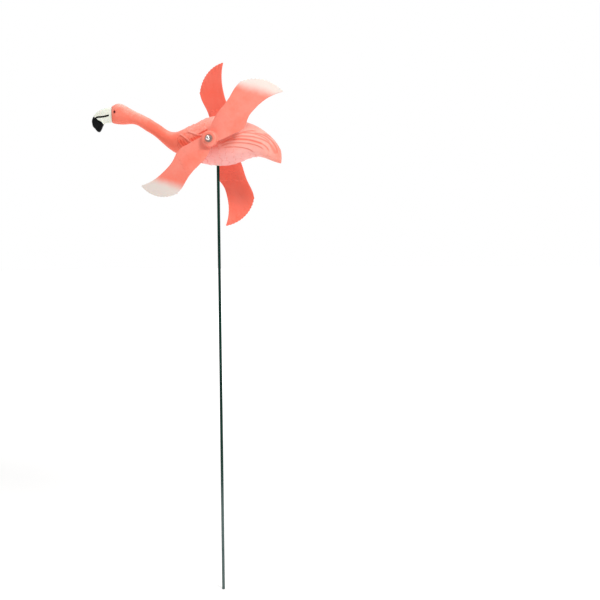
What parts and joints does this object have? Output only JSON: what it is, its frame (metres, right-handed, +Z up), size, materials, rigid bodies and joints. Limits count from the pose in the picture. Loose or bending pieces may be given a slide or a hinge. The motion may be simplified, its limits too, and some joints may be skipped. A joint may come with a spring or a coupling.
{
  "type": "garden whirligig",
  "caption": "Flamingo-shaped wind spinner on a thin ground stake: hollow two-half bird that swivels, with a spinning two-bladed wing on each side.",
  "frame": {"origin": "centre of the flat bottom end of the stake", "axes": "+Z up along the stake; the bird looks towards -X; the axle runs along Y, the bird's left wing on the -Y side"},
  "size_m": [0.3398, 0.1554, 0.913],
  "materials": {
    "stake_enamel": "dark forest green enamel, semi-gloss, scuffed towards the ground end",
    "bird_plastic": "satin coral moulded plastic with feather relief; the bill is painted white with a black tip, the eye is a painted dot",
    "wing_plastic": "satin coral moulded plastic, airbrushed off-white towards the blade tips on the outer face",
    "bush_nylon": "natural nylon",
    "axle_steel": "drawn steel rod",
    "spacer_nylon": "natural nylon",
    "washer_steel": "zinc plated",
    "cap_nickel": "bright nickel plate"
  },
  "bodies": {
    "stake": {"stake": "stake_enamel"},
    "bird": {"swivel_bush": "bush_nylon", "body_shell_left": "bird_plastic", "body_shell_right": "bird_plastic", "axle": "axle_steel", "spacer_left": "spacer_nylon", "inner_washer_left": "washer_steel", "outer_washer_left": "washer_steel", "push_cap_left": "cap_nickel", "spacer_right": "spacer_nylon", "inner_washer_right": "washer_steel", "outer_washer_right": "washer_steel", "push_cap_right": "cap_nickel"},
    "left_wing": {"wing_rotor_left": "wing_plastic"},
    "right_wing": {"wing_rotor_right": "wing_plastic"}
  },
  "joints": [
    {"name": "bird_swivel", "type": "hinge", "parent": "stake", "child": "bird", "pos_m": [0, 0, 0.762], "axis": [0, 0, 1], "continuous": true},
    {"name": "left_wing_spin", "type": "hinge", "parent": "bird", "child": "left_wing", "pos_m": [0.0007, -0.06, 0.7724], "axis": [0, 1, 0], "continuous": true},
    {"name": "right_wing_spin", "type": "hinge", "parent": "bird", "child": "right_wing", "pos_m": [0.0007, 0.06, 0.7724], "axis": [0, 1, 0], "continuous": true}
  ]
}
